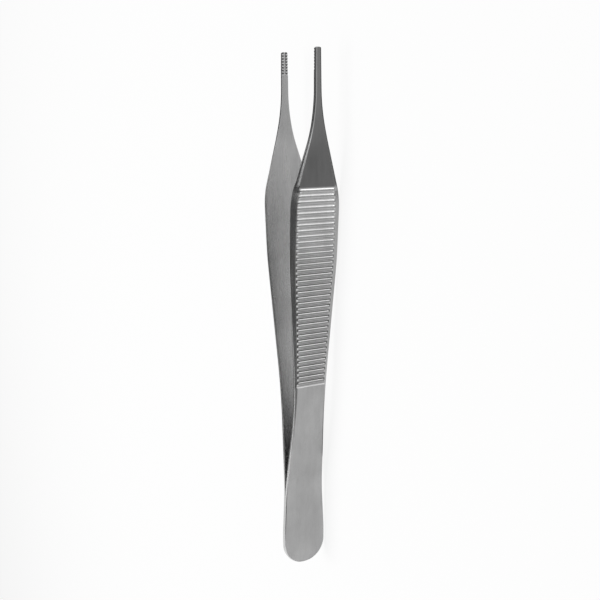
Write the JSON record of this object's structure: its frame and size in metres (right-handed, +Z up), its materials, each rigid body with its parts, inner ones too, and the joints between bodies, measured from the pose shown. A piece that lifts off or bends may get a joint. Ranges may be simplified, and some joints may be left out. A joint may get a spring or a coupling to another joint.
{
  "type": "thumb forceps",
  "caption": "Sprung steel tweezers for tissue: broad ridged finger grips, round welded heel and narrow parallel tips with fine teeth inside.",
  "frame": {"origin": "middle of the bounding box, at the level of the lower edges that it lies on", "axes": "lying on its side: +X from the welded heel to the tips, Y across the opening with the rear arm at +Y, +Z up across the width of the arms"},
  "size_m": [0.12, 0.0166, 0.012],
  "materials": {
    "steel": "satin"
  },
  "bodies": {
    "root": {"front_arm": "steel", "rear_arm": "steel"}
  },
  "joints": []
}
